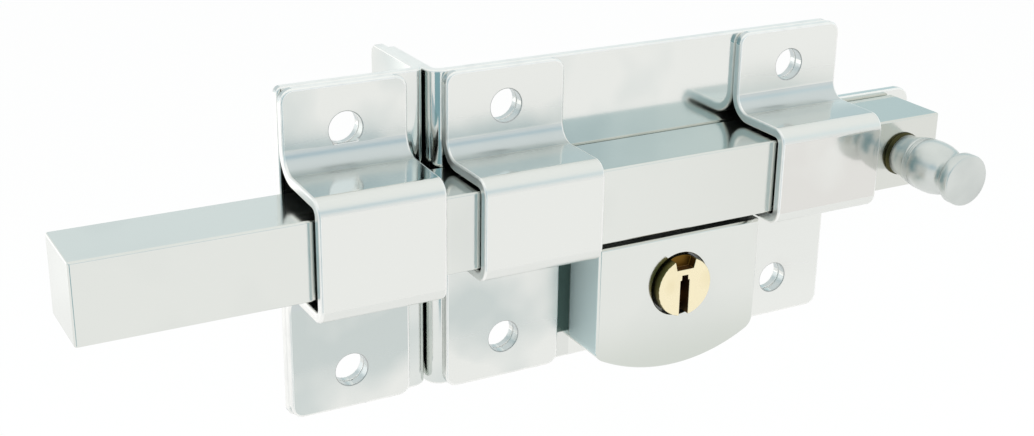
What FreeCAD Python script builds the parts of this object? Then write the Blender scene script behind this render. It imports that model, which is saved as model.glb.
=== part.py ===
import FreeCAD, Part

import math
import os
import re

import Sketcher

# A surface-mounted door lock: a square bar that slides through two sheet guides on the
# door and through a strike loop on the frame, locked from below by a key cylinder.
# Frame: +X right along the bar, +Y into the door, +Z up, millimetres.
# Origin: on the back face of the body's base plate, halfway across it and halfway between
# its upper and lower mounting holes.

# Driving dimensions, in millimetres and degrees
SIZES = {
    # Sheet metal
    "sheet": 2.5,
    "plate_height": 80.6,
    "plate_level": -0.5,
    "plate_corner": 3.5,
    "strike_corner": 1.5,
    "return_reach": 24.0,
    "return_corner": 2.5,
    "bend_outer": 4.0,
    "bend_inner": 1.5,
    "mount_hole": 4.1,
    "mount_rise": 60.0,
    # Bar
    "bar_side": 19.0,
    "bar_length": 229.0,
    "bar_axis": 7.0,
    "bar_gap": 0.5,
    "bar_edge": 0.4,
    "bar_back_travel": 92.5,
    "bar_home_travel": 4.4,
    # Tongue of the base plate behind the bar's right end
    "tongue_past": 6.7,
    "tongue_half": 10.75,
    "tongue_corner": 4.0,
    # Guides
    "guide_width": 31.5,
    "guide_inset": 3.0,
    "guide_front_gap": 0.5,
    "guide_side_gap": 0.6,
    "guide_bend": 4.5,
    "guide_nose": 4.0,
    "guide_slope": 0.0,
    "flange_corner": 3.0,
    "relief_clear": 0.4,
    # Strike
    "strike_width": 30.5,
    "strike_level": 0.5,
    "strike_gap": 0.6,
    "strike_inset": 6.15,
    "strike_front_gap": 1.2,
    "strike_side_gap": 2.6,
    "strike_bend": 5.0,
    "strike_nose": 4.0,
    "strike_slope": 0.8,
    # Lock case
    "case_gap": 4.65,
    "case_overlap": 1.35,
    "case_width": 48.2,
    "case_top_gap": 4.0,
    "case_drop": 2.0,
    "case_depth": 13.75,
    "case_wall": 2.0,
    "case_arc": 47.0,
    "case_corner": 4.0,
    "case_edge": 0.6,
    "boss_half": 3.0,
    "boss_inset": 5.1,
    "boss_drop": 17.5,
    # Cylinder
    "plug_drop": 13.5,
    "plug_head": 7.8,
    "plug_head_hole": 8.4,
    "plug_barrel": 6.5,
    "plug_run": 0.05,
    "plug_proud": 2.4,
    "end_play": 0.1,
    "key_slot": 2.7,
    "key_neck": 1.8,
    "key_top": 3.2,
    "key_step": 1.85,
    "key_depth": 9.55,
    "mark_top_width": 6.4,
    "mark_low_width": 4.9,
    "mark_drop": 3.05,
    "mark_depth": 2.4,
    "housing_clear": 0.5,
    "housing_top": 10.0,
    "housing_bottom": 12.0,
    "housing_length": 6.3,
    "case_clear": 0.05,
    "column_width": 5.0,
    "groove_reach": 7.8,
    # Wafers
    "wafer_half": 3.5,
    "wafer_radius": 6.4,
    "wafer_thick": 0.8,
    "wafer_pitch": 1.6,
    "wafer_first": 1.2,
    "wafer_clear": 0.05,
    "window_half": 1.45,
    "window_top": 3.5,
    "window_bottom": 3.4,
    "spring_radius": 0.4,
    "spring_length": 2.2,
    "spring_offset": 3.05,
    "spring_seat": 0.55,
    # Cam behind the plug, and the dog that it lifts
    "cam_half_length": 8.0,
    "cam_half_width": 5.2,
    "cam_thick": 1.8,
    "plug_tail": 2.3,
    "cam_throw": 3.5,
    "cam_start": 45.0,
    "cam_pin": 1.2,
    "cam_pin_reach": 3.1,
    "yoke_clear": 0.15,
    "yoke_spare": 0.12,
    "dog_thick": 3.0,
    "dog_side_clear": 0.2,
    "dog_below": 6.0,
    "dog_above": 4.5,
    "dog_back_gap": 0.2,
    "tooth_half": 3.0,
    "tooth_gap": 0.7,
    "tooth_window": 0.3,
    "notch_depth": 4.6,
    "notch_play": 0.3,
    "notch_reach": 4.6,
    # Rivets, peened flush
    "plate_rivet": 1.5,
    "plate_rivet_grip": 6.0,
    # Knob and what holds it, measured out from the bar's front
    "knob_past": 10.25,
    "knob_inset": 11.8,
    "ring_radius": 5.7,
    "ring_thick": 1.2,
    "knob_spigot": 3.0,
    "knob_stem": 5.4,
    "stem_end": 4.2,
    "knob_barrel": 6.75,
    "barrel_start": 8.0,
    "barrel_end": 15.2,
    "knob_neck": 5.1,
    "neck_start": 17.8,
    "neck_end": 19.6,
    "knob_head": 6.65,
    "head_start": 21.3,
    "knob_reach": 24.0,
    "knob_screw": 2.0,
    "knob_screw_head": 3.5,
    "knob_screw_head_thick": 2.6,
    "knob_screw_sink": 3.2,
    "knob_screw_bite": 11.0,
    "screw_clear": 0.1,
    "head_clear": 0.2,
    # Stop pin in the bar's back
    "stop_pin": 1.5,
    "stop_pin_inset": 15.15,
    "stop_pin_seat": 5.0,
    "stop_pin_reach": 2.3,
    "stop_end_clear": 0.1,
    "stop_side_clear": 0.2,
    # How far a cut runs past the face that it opens
    "overcut": 1.0,
}

# Places worked out from the driving dimensions
PLACES = {
    "plate_front": "-sheet",
    "plate_width": "guide_inset + 2 * guide_width + case_gap + case_width - case_overlap",
    "plate_left": "-plate_width / 2",
    "plate_right": "plate_width / 2",
    "plate_top": "plate_level + plate_height / 2",
    "plate_bottom": "plate_level - plate_height / 2",
    "guide_top": "plate_top",
    "guide_bottom": "plate_bottom",
    "strike_top": "strike_level + plate_height / 2",
    "strike_bottom": "strike_level - plate_height / 2",
    "hole_high": "mount_rise / 2",
    "hole_low": "-mount_rise / 2",
    "return_inner": "plate_left + sheet",
    "flange_front": "plate_front - sheet",
    "bar_back": "plate_front - bar_gap",
    "bar_front": "bar_back - bar_side",
    "bar_top": "bar_axis + bar_side / 2",
    "bar_bottom": "bar_axis - bar_side / 2",
    "knob_place": "plate_right + knob_past",
    "bar_right": "knob_place + knob_inset",
    "bar_left": "bar_right - bar_length",
    "stop_pin_place": "plate_left + stop_pin_inset",
    "left_guide_left": "plate_left + guide_inset",
    "left_guide_right": "left_guide_left + guide_width",
    "left_guide_middle": "left_guide_left + guide_width / 2",
    "right_guide_right": "plate_right",
    "right_guide_left": "right_guide_right - guide_width",
    "right_guide_middle": "right_guide_right - guide_width / 2",
    "guide_inner": "bar_front - guide_front_gap",
    "guide_outer": "guide_inner - sheet",
    "guide_roof": "bar_top + guide_side_gap",
    "guide_floor": "bar_bottom - guide_side_gap",
    "guide_roof_outer": "guide_roof + sheet",
    "guide_floor_outer": "guide_floor - sheet",
    "guide_roof_foot": "guide_roof + guide_slope",
    "guide_roof_foot_outer": "guide_roof_outer + guide_slope",
    "guide_back_bend": "guide_bend + sheet",
    "guide_nose_inner": "guide_nose - sheet",
    "strike_return_outer": "plate_left - strike_gap",
    "strike_return_inner": "strike_return_outer - sheet",
    "strike_right": "strike_return_outer - strike_inset",
    "strike_left": "strike_right - strike_width",
    "strike_middle": "strike_right - strike_width / 2",
    "strike_inner": "bar_front - strike_front_gap",
    "strike_outer": "strike_inner - sheet",
    "strike_roof": "bar_top + strike_side_gap",
    "strike_floor": "bar_bottom - strike_side_gap",
    "strike_roof_outer": "strike_roof + sheet",
    "strike_floor_outer": "strike_floor - sheet",
    "strike_roof_foot": "strike_roof + strike_slope",
    "strike_roof_foot_outer": "strike_roof_outer + strike_slope",
    "strike_back_bend": "strike_bend + sheet",
    "strike_nose_inner": "strike_nose - sheet",
    "tongue_right": "bar_right + tongue_past",
    "tongue_top": "bar_axis + tongue_half",
    "tongue_bottom": "bar_axis - tongue_half",
    "case_right": "right_guide_left + case_overlap",
    "case_left": "case_right - case_width",
    "case_middle": "case_right - case_width / 2",
    "case_top": "bar_bottom - case_top_gap",
    "case_bottom": "plate_bottom - case_drop",
    "case_front": "plate_front - case_depth",
    "case_inside": "case_front + case_wall",
    "case_arc_centre": "case_bottom + case_arc",
    "case_side_end": "case_arc_centre - sqrt(case_arc ^ 2 - (case_width / 2) ^ 2)",
    "case_in_left": "case_left + case_wall",
    "case_in_right": "case_right - case_wall",
    "case_in_top": "case_top - case_wall",
    "case_in_arc": "case_arc - case_wall",
    "case_in_side_end": "case_arc_centre - sqrt(case_in_arc ^ 2 - (case_width / 2 - case_wall) ^ 2)",
    "boss_left": "case_left + boss_inset",
    "boss_right": "case_right - boss_inset",
    "boss_height": "case_top - boss_drop",
    "relief_right": "case_right + relief_clear",
    "relief_top": "case_top + relief_clear",
    "plug_axis": "case_top - plug_drop",
    "plug_front": "case_front - plug_proud",
    "housing_front": "case_inside + case_clear",
    "housing_back": "housing_front + housing_length",
    "plug_shoulder": "housing_front - end_play",
    "plug_back": "housing_back + case_clear",
    "cam_front": "plug_back",
    "housing_half": "case_width / 2 - boss_inset - boss_half - housing_clear",
    "column_inner": "housing_half - column_width",
    "column_middle": "housing_half - column_width / 2",
    "dog_half": "column_inner - dog_side_clear",
    "dog_back": "plate_front - dog_back_gap",
    "dog_front": "dog_back - dog_thick",
    "pin_side": "-cam_throw * cos(cam_start)",
    "pin_drop": "-cam_throw * sin(cam_start)",
    "yoke_half": "cam_pin + yoke_clear",
    "yoke_outer": "-cam_throw - yoke_spare",
    "yoke_inner": "pin_side + yoke_spare",
    "tooth_top": "bar_bottom - tooth_gap - plug_axis",
    "wafer_middle": "plug_shoulder + wafer_first",
}

# Places of the rivets that come through the base plate from the back
CASE_RIVETS = [
    ("boss_left", "boss_height"),
    ("boss_right", "boss_height"),
]
HOUSING_RIVETS = [
    ("case_middle - column_middle", "plug_axis"),
    ("case_middle + column_middle", "plug_axis"),
]
WAFER_COUNT = 3

PARTS_FOLDER = "parts"
FULL_TURN = 360
NEAR = 1e-4
SKETCH_NORMAL = FreeCAD.Vector(0, 0, 1)

doc = FreeCAD.newDocument("door_lock")


# The sheet of sizes, the set of places and the words that bind features to them
def fill_sheet():
    """Put every driving dimension in the sheet, with its name as alias."""
    table = doc.addObject("Spreadsheet::Sheet", "Sizes")
    for row, (name, number) in enumerate(SIZES.items(), start=1):
        table.set(f"A{row}", name)
        table.set(f"B{row}", str(number))
        table.setAlias(f"B{row}", name)
    doc.recompute()


def bound(text):
    """An expression in which each size or place is read from its own object."""
    def owner(match):
        word = match.group()
        if word in SIZES:
            return "Sizes." + word
        if word in PLACES:
            return "Places." + word
        return word
    return re.sub(r"[a-z][a-z_]*", owner, text)


def fill_places():
    """Work out every place from the sheet."""
    table = doc.addObject("App::VarSet", "Places")
    for name, text in PLACES.items():
        table.addProperty("App::PropertyFloat", name, "Places")
        table.setExpression(name, bound(text))
    doc.recompute()


fill_sheet()
fill_places()
answer = doc.addObject("App::VarSet", "Answer")
answer.addProperty("App::PropertyFloat", "number", "Answer")


def value(text):
    """The number that an expression comes to."""
    answer.setExpression("number", bound(text))
    answer.recompute()
    return answer.number


# Sketches and features
def new_body(name, x="0", y="0", z="0"):
    """A body for one piece, placed in the lock's frame."""
    body = doc.addObject("PartDesign::Body", name)
    body.Label = name
    body.setExpression("Placement.Base.x", bound(x))
    body.setExpression("Placement.Base.y", bound(y))
    body.setExpression("Placement.Base.z", bound(z))
    return body


def new_sketch(body, plane, height="0"):
    """A sketch on an origin plane of the body, moved along the plane's normal.

    The normals are +X for YZ_Plane, -Y for XZ_Plane and +Z for XY_Plane.
    """
    drawing = body.newObject("Sketcher::SketchObject", body.Name + "_sketch")
    role = next(item for item in body.Origin.OriginFeatures if item.Role == plane)
    drawing.AttachmentSupport = [(role, "")]
    drawing.MapMode = "FlatFace"
    drawing.setExpression("AttachmentOffset.Base.z", bound(height))
    return drawing


def pin_point(drawing, edge, point, across, up):
    """Fix one point of a sketch at bound distances from the sketch's origin."""
    for kind, text in (("DistanceX", across), ("DistanceY", up)):
        constraint = Sketcher.Constraint(kind, -1, 1, edge, point, value(text))
        index = drawing.addConstraint(constraint)
        drawing.setExpression(f"Constraints[{index}]", bound(text))


def spot(across, up):
    """A point of a sketch at the numbers that two expressions come to."""
    return FreeCAD.Vector(value(across), value(up), 0)


def polygon(drawing, corners):
    """A closed outline of straight lines through bound corners."""
    count = len(corners)
    ring = [spot(across, up) for across, up in corners]
    lines = [Part.LineSegment(ring[k], ring[(k + 1) % count]) for k in range(count)]
    first = drawing.addGeometry(lines)[0]
    for k, (across, up) in enumerate(corners):
        following = first + (k + 1) % count
        drawing.addConstraint(Sketcher.Constraint("Coincident", first + k, 2, following, 1))
        pin_point(drawing, first + k, 1, across, up)


def rectangle(drawing, left, right, low, high):
    """A rectangle between bound sides."""
    polygon(drawing, [(left, low), (right, low), (right, high), (left, high)])


def circle(drawing, across, up, radius):
    """A circle with a bound centre and radius."""
    ring = Part.Circle(spot(across, up), SKETCH_NORMAL, value(radius))
    index = drawing.addGeometry(ring)
    pin_point(drawing, index, 3, across, up)
    constraint = drawing.addConstraint(Sketcher.Constraint("Radius", index, ring.Radius))
    drawing.setExpression(f"Constraints[{constraint}]", bound(radius))


def slot(drawing, left, right, up, radius):
    """A level slot with round ends between two bound centres."""
    quarter = math.pi / 2
    size = value(radius)
    rise = FreeCAD.Vector(0, size, 0)
    right_centre = spot(right, up)
    left_centre = spot(left, up)
    right_ring = Part.Circle(right_centre, SKETCH_NORMAL, size)
    left_ring = Part.Circle(left_centre, SKETCH_NORMAL, size)
    right_end = Part.ArcOfCircle(right_ring, -quarter, quarter)
    left_end = Part.ArcOfCircle(left_ring, quarter, 3 * quarter)
    top = Part.LineSegment(right_centre + rise, left_centre + rise)
    low = Part.LineSegment(left_centre - rise, right_centre - rise)
    first = drawing.addGeometry([right_end, top, left_end, low])[0]
    for k in range(4):
        drawing.addConstraint(Sketcher.Constraint("Tangent", first + k, 2, first + (k + 1) % 4, 1))
    pin_point(drawing, first, 3, right, up)
    pin_point(drawing, first + 2, 3, left, up)
    constraint = drawing.addConstraint(Sketcher.Constraint("Radius", first, size))
    drawing.setExpression(f"Constraints[{constraint}]", bound(radius))


def pad(body, drawing, length):
    """Raise a sketch along its normal."""
    feature = body.newObject("PartDesign::Pad", body.Name + "_pad")
    feature.Profile = drawing
    feature.setExpression("Length", bound(length))
    doc.recompute()
    return feature


def pocket(body, drawing, length):
    """Cut a sketch against its normal, and stop if it takes nothing away."""
    before = body.Shape.Volume
    feature = body.newObject("PartDesign::Pocket", body.Name + "_pocket")
    feature.Profile = drawing
    feature.setExpression("Length", bound(length))
    doc.recompute()
    if body.Shape.Volume > before - NEAR:
        raise RuntimeError(f"{feature.Name} cuts nothing from {body.Name}")
    return feature


def revolve(body, drawing):
    """Turn a sketch on XY_Plane about its upright axis, which lies along Y."""
    feature = body.newObject("PartDesign::Revolution", body.Name + "_turned")
    feature.Profile = drawing
    feature.ReferenceAxis = (drawing, ["V_Axis"])
    feature.Angle = FULL_TURN
    doc.recompute()
    return feature


def straight_edges(shape, axis, spots):
    """Names of the straight edges along an axis that pass through the spots.

    A spot gives the two other coordinates, in the order X, Y, Z.
    """
    targets = [[value(word) for word in words] for words in spots]
    found = []
    for number, edge in enumerate(shape.Edges, start=1):
        if not isinstance(edge.Curve, Part.Line):
            continue
        first, last = (tuple(vertex.Point) for vertex in edge.Vertexes)
        others = [k for k in range(3) if k != axis]
        if any(abs(first[k] - last[k]) > NEAR for k in others):
            continue
        for target in targets:
            if all(abs(first[k] - goal) < NEAR for k, goal in zip(others, target)):
                found.append(f"Edge{number}")
    return found


def level_edges(shape, height):
    """Names of all edges that lie wholly at one place along Y."""
    level = value(height)
    found = []
    for number, edge in enumerate(shape.Edges, start=1):
        box = edge.BoundBox
        if abs(box.YMin - level) < NEAR and abs(box.YMax - level) < NEAR:
            found.append(f"Edge{number}")
    return found


def dress(body, kind, edges, radius):
    """Fillet or chamfer the named edges of the body's last feature."""
    if not edges:
        raise RuntimeError(f"{body.Name} has no edge for its {kind}")
    base = body.Tip
    feature = body.newObject("PartDesign::" + kind, body.Name + "_" + kind.lower())
    feature.Base = (base, edges)
    feature.setExpression("Radius" if kind == "Fillet" else "Size", bound(radius))
    doc.recompute()
    return feature


def fillet_along(body, axis, spots, radius):
    """Round the straight edges through the spots."""
    return dress(body, "Fillet", straight_edges(body.Tip.Shape, axis, spots), radius)


ALONG_X, ALONG_Y, ALONG_Z = range(3)


# Sheet pieces
def angled_plate(body, kind, far_side, return_outer, return_inner, corner):
    """A flat sheet with one side bent back past the edge of the door or frame."""
    top, bottom = f"{kind}_top", f"{kind}_bottom"
    profile = new_sketch(body, "XY_Plane", bottom)
    polygon(profile, [
        (far_side, "plate_front"),
        (far_side, "0"),
        (return_inner, "0"),
        (return_inner, "return_reach"),
        (return_outer, "return_reach"),
        (return_outer, "plate_front"),
    ])
    pad(body, profile, "plate_height")
    fillet_along(body, ALONG_Z, [(return_outer, "plate_front")], "bend_outer")
    fillet_along(body, ALONG_Z, [(return_inner, "0")], "bend_inner")
    ends = [("return_reach", top), ("return_reach", bottom)]
    fillet_along(body, ALONG_X, ends, "return_corner")
    fillet_along(body, ALONG_Y, [(far_side, top), (far_side, bottom)], corner)


def mounting_holes(body, middles, front):
    """Two mounting holes, one above the other, at each middle."""
    drawing = new_sketch(body, "XZ_Plane", "-" + front)
    for middle in middles:
        for height in ("hole_high", "hole_low"):
            circle(drawing, middle, height, "mount_hole")
    pocket(body, drawing, "sheet")


def rivet_holes(body, spots):
    """Holes through the base plate, filled by the rivets."""
    drawing = new_sketch(body, "XZ_Plane", "sheet")
    for across, up in spots:
        circle(drawing, across, up, "plate_rivet")
    pocket(body, drawing, "sheet")


def build_base_plate():
    """The body's base plate, with its return, its tongue and the stop pin's slot."""
    body = new_body("body_base_plate")
    angled_plate(body, "plate", "plate_right", "plate_left", "return_inner", "plate_corner")
    tongue = new_sketch(body, "XZ_Plane")
    rectangle(tongue, "right_guide_middle", "tongue_right", "tongue_bottom", "tongue_top")
    pad(body, tongue, "sheet")
    fillet_along(body, ALONG_Y, [
        ("tongue_right", "tongue_top"),
        ("tongue_right", "tongue_bottom"),
    ], "tongue_corner")
    mounting_holes(body, ("left_guide_middle", "right_guide_middle"), "plate_front")
    track = new_sketch(body, "XZ_Plane", "sheet")
    slot(
        track,
        "stop_pin_place - bar_home_travel - stop_end_clear",
        "stop_pin_place + bar_back_travel + stop_end_clear",
        "bar_axis",
        "stop_pin + stop_side_clear",
    )
    pocket(body, track, "sheet")
    rivet_holes(body, CASE_RIVETS + HOUSING_RIVETS)
    return body


def build_strike_plate():
    """The strike's base plate, bent back beside the body's own return."""
    body = new_body("strike_plate")
    far_side, outer, inner = "strike_left", "strike_return_outer", "strike_return_inner"
    angled_plate(body, "strike", far_side, outer, inner, "strike_corner")
    mounting_holes(body, ("strike_middle",), "plate_front")
    return body


def sheet_loop(name, kind, left, right, middle):
    """A hat-shaped sheet piece that the bar passes through.

    Its two flanges lie on a base plate, and the words of one kind give its section.
    """
    body = new_body(name)
    front = "flange_front"
    top, bottom = f"{kind}_top", f"{kind}_bottom"
    section = new_sketch(body, "YZ_Plane", left)
    polygon(section, [
        ("plate_front", top),
        (front, top),
        (front, f"{kind}_roof_foot_outer"),
        (f"{kind}_outer", f"{kind}_roof_outer"),
        (f"{kind}_outer", f"{kind}_floor_outer"),
        (front, f"{kind}_floor_outer"),
        (front, bottom),
        ("plate_front", bottom),
        ("plate_front", f"{kind}_floor"),
        (f"{kind}_inner", f"{kind}_floor"),
        (f"{kind}_inner", f"{kind}_roof"),
        ("plate_front", f"{kind}_roof_foot"),
    ])
    pad(body, section, f"{right} - {left}")
    rounds = [
        ("bend", front, "roof_foot_outer", "floor_outer"),
        ("back_bend", "plate_front", "roof_foot", "floor"),
        ("nose", f"{kind}_outer", "roof_outer", "floor_outer"),
        ("nose_inner", f"{kind}_inner", "roof", "floor"),
    ]
    for radius, depth, upper, lower in rounds:
        spots = [(depth, f"{kind}_{upper}"), (depth, f"{kind}_{lower}")]
        fillet_along(body, ALONG_X, spots, f"{kind}_{radius}")
    corners = [(side, level) for side in (left, right) for level in (top, bottom)]
    fillet_along(body, ALONG_Y, corners, "flange_corner")
    mounting_holes(body, (middle,), front)
    return body


def build_left_guide():
    """The guide beside the door's edge."""
    return sheet_loop(
        "left_guide", "guide", "left_guide_left", "left_guide_right", "left_guide_middle"
    )


def build_right_guide():
    """The guide on the knob's side, cut away below for the case."""
    body = sheet_loop(
        "right_guide", "guide", "right_guide_left", "right_guide_right", "right_guide_middle"
    )
    relief = new_sketch(body, "XZ_Plane", "-guide_outer")
    left, low = "right_guide_left - overcut", "plate_bottom - overcut"
    rectangle(relief, left, "relief_right", low, "relief_top")
    pocket(body, relief, "plate_front - guide_outer")
    return body


def build_strike_loop():
    """The loop on the frame that the bar passes through."""
    return sheet_loop("strike_loop", "strike", "strike_left", "strike_right", "strike_middle")


# Bar, knob and stop pin
def build_bar():
    """The square bar, notched for the dog and drilled for the knob and the stop pin."""
    body = new_body("bar")
    section = new_sketch(body, "YZ_Plane", "bar_left")
    rectangle(section, "bar_front", "bar_back", "bar_bottom", "bar_top")
    pad(body, section, "bar_length")
    everything = [f"Edge{k + 1}" for k in range(len(body.Tip.Shape.Edges))]
    dress(body, "Chamfer", everything, "bar_edge")
    notches = new_sketch(body, "XY_Plane", "bar_bottom + notch_depth")
    tooth_left = "case_middle - tooth_half - notch_play"
    tooth_right = "case_middle + tooth_half + notch_play"
    for left, right in (
        (tooth_left, f"{tooth_right} + bar_home_travel"),
        (f"{tooth_left} - bar_back_travel", f"{tooth_right} - bar_back_travel"),
    ):
        rectangle(notches, left, right, "bar_back - notch_reach", "bar_back + overcut")
    pocket(body, notches, "notch_depth + overcut")
    for across, depth, radius in (
        ("knob_place", "bar_side", "knob_screw + screw_clear"),
        ("knob_place", "knob_screw_sink", "knob_screw_head + head_clear"),
        ("stop_pin_place", "stop_pin_seat", "stop_pin"),
    ):
        hole = new_sketch(body, "XZ_Plane", f"-(bar_back - {depth})")
        circle(hole, across, "bar_axis", radius)
        pocket(body, hole, depth)
    return body


def build_stop_pin():
    """The pin in the bar's back that runs in the base plate's slot."""
    body = new_body("bar_stop_pin", "stop_pin_place", "bar_back", "bar_axis")
    drawing = new_sketch(body, "XZ_Plane", "-stop_pin_reach")
    circle(drawing, "0", "0", "stop_pin")
    pad(body, drawing, "stop_pin_reach + stop_pin_seat")
    return body


def build_knob_ring():
    """The dark ring between the bar and the knob."""
    body = new_body("knob_ring", "knob_place", "bar_front", "bar_axis")
    drawing = new_sketch(body, "XZ_Plane")
    circle(drawing, "0", "0", "ring_radius")
    circle(drawing, "0", "0", "knob_spigot")
    pad(body, drawing, "ring_thick")
    return body


def build_knob():
    """The turned knob: a stem that flares to a barrel, a neck and a flat head."""
    body = new_body("knob", "knob_place", "bar_front", "bar_axis")
    profile = new_sketch(body, "XY_Plane")
    polygon(profile, [
        ("knob_screw", "0"),
        ("knob_spigot", "0"),
        ("knob_spigot", "-ring_thick"),
        ("knob_stem", "-ring_thick"),
        ("knob_stem", "-stem_end"),
        ("knob_barrel", "-barrel_start"),
        ("knob_barrel", "-barrel_end"),
        ("knob_neck", "-neck_start"),
        ("knob_neck", "-neck_end"),
        ("knob_head", "-head_start"),
        ("knob_head", "-knob_reach"),
        ("0", "-knob_reach"),
        ("0", "-knob_screw_bite"),
        ("knob_screw", "-knob_screw_bite"),
    ])
    revolve(body, profile)
    return body


def build_knob_screw():
    """The screw that holds the knob, put in from the bar's back."""
    body = new_body("knob_screw", "knob_place", "bar_back", "bar_axis")
    profile = new_sketch(body, "XY_Plane")
    tip = "-bar_side - knob_screw_bite + overcut"
    polygon(profile, [
        ("0", "knob_screw_head_thick - knob_screw_sink"),
        ("knob_screw_head", "knob_screw_head_thick - knob_screw_sink"),
        ("knob_screw_head", "-knob_screw_sink"),
        ("knob_screw", "-knob_screw_sink"),
        ("knob_screw", tip),
        ("0", tip),
    ])
    revolve(body, profile)
    return body


# Lock case
def case_outline(drawing, left, right, top, side_end, arc):
    """An outline with a straight top and sides over a shallow arc."""
    hub = spot("case_middle", "case_arc_centre")
    upper_left = spot(left, top)
    upper_right = spot(right, top)
    lower_left = spot(left, side_end)
    lower_right = spot(right, side_end)
    radius = value(arc)
    spread = math.acos((hub.y - lower_left.y) / radius)
    down = 1.5 * math.pi
    bowl = Part.ArcOfCircle(Part.Circle(hub, SKETCH_NORMAL, radius), down - spread, down + spread)
    first = drawing.addGeometry([
        Part.LineSegment(upper_right, upper_left),
        Part.LineSegment(upper_left, lower_left),
        bowl,
        Part.LineSegment(lower_right, upper_right),
    ])[0]
    for k in range(4):
        drawing.addConstraint(
            Sketcher.Constraint("Coincident", first + k, 2, first + (k + 1) % 4, 1)
        )
    pin_point(drawing, first, 1, right, top)
    pin_point(drawing, first + 1, 1, left, top)
    pin_point(drawing, first + 2, 3, "case_middle", "case_arc_centre")
    pin_point(drawing, first + 3, 1, right, side_end)
    drawing.addConstraint(Sketcher.Constraint("Vertical", first + 1))


def build_lock_case():
    """The shallow case over the cylinder, open to the base plate at its back."""
    body = new_body("lock_case")
    outline = new_sketch(body, "XZ_Plane", "-plate_front")
    case_outline(outline, "case_left", "case_right", "case_top", "case_side_end", "case_arc")
    pad(body, outline, "case_depth")
    fillet_along(body, ALONG_Y, [
        ("case_left", "case_side_end"),
        ("case_right", "case_side_end"),
    ], "case_corner")
    dress(body, "Chamfer", level_edges(body.Tip.Shape, "case_front"), "case_edge")
    hollow = new_sketch(body, "XZ_Plane", "-case_inside")
    case_outline(
        hollow, "case_in_left", "case_in_right", "case_in_top", "case_in_side_end", "case_in_arc"
    )
    pocket(body, hollow, "case_depth - case_wall")
    bosses = new_sketch(body, "XZ_Plane", "-plate_front")
    low, high = "boss_height - boss_half", "boss_height + boss_half"
    rectangle(bosses, "case_left + case_wall / 2", "boss_left + boss_half", low, high)
    rectangle(bosses, "boss_right - boss_half", "case_right - case_wall / 2", low, high)
    pad(body, bosses, "case_depth - case_wall / 2")
    face_hole = new_sketch(body, "XZ_Plane", "-case_front")
    circle(face_hole, "case_middle", "plug_axis", "plug_head_hole")
    pocket(body, face_hole, "case_wall")
    window = new_sketch(body, "XY_Plane", "case_top")
    rectangle(
        window,
        "case_middle - tooth_half - tooth_window",
        "case_middle + tooth_half + tooth_window",
        "dog_front - tooth_window",
        "plate_front + overcut",
    )
    pocket(body, window, "case_wall")
    holes = new_sketch(body, "XZ_Plane", "plate_rivet_grip")
    for across, up in CASE_RIVETS:
        circle(holes, across, up, "plate_rivet")
    pocket(body, holes, "plate_rivet_grip + plate_front")
    return body


def build_plate_rivet(name, across, up):
    """A rivet, peened flush with the base plate's back."""
    body = new_body(name, across, "0", up)
    drawing = new_sketch(body, "XZ_Plane")
    circle(drawing, "0", "0", "plate_rivet")
    pad(body, drawing, "plate_rivet_grip")
    return body


# Cylinder. Its pieces are drawn about the plug's axis
def at_plug(name):
    """A body placed on the plug's axis."""
    return new_body(name, "case_middle", "0", "plug_axis")


def build_housing():
    """The cylinder's housing: a bored block on two columns that guide the dog."""
    body = at_plug("cylinder_housing")
    block = new_sketch(body, "XZ_Plane", "-housing_back")
    rectangle(block, "-housing_half", "housing_half", "-housing_bottom", "housing_top")
    pad(body, block, "housing_length")
    columns = new_sketch(body, "XZ_Plane", "-plate_front")
    for inner, outer in (("-column_inner", "-housing_half"), ("column_inner", "housing_half")):
        rectangle(columns, inner, outer, "-housing_bottom", "housing_top")
    pad(body, columns, "plate_front - housing_back")
    bore = new_sketch(body, "XZ_Plane", "-housing_front")
    circle(bore, "0", "0", "plug_barrel + plug_run")
    pocket(body, bore, "housing_length")
    grooves = new_sketch(body, "XZ_Plane", "-housing_front")
    rectangle(grooves, "-wafer_half", "wafer_half", "-groove_reach", "groove_reach")
    pocket(body, grooves, "housing_length")
    holes = new_sketch(body, "XZ_Plane", "plate_rivet_grip")
    for side in ("-column_middle", "column_middle"):
        circle(holes, side, "0", "plate_rivet")
    pocket(body, holes, "plate_rivet_grip + plate_front")
    return body


def wafer_places():
    """Where each wafer's middle lies along Y."""
    return [f"wafer_middle + {k} * wafer_pitch" for k in range(WAFER_COUNT)]


def square_tail(drawing):
    """The square on which the cam plate sits, with one flat towards the cam pin."""
    polygon(drawing, [("plug_tail", "0"), ("0", "plug_tail"), ("-plug_tail", "0"), ("0", "-plug_tail")])


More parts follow.
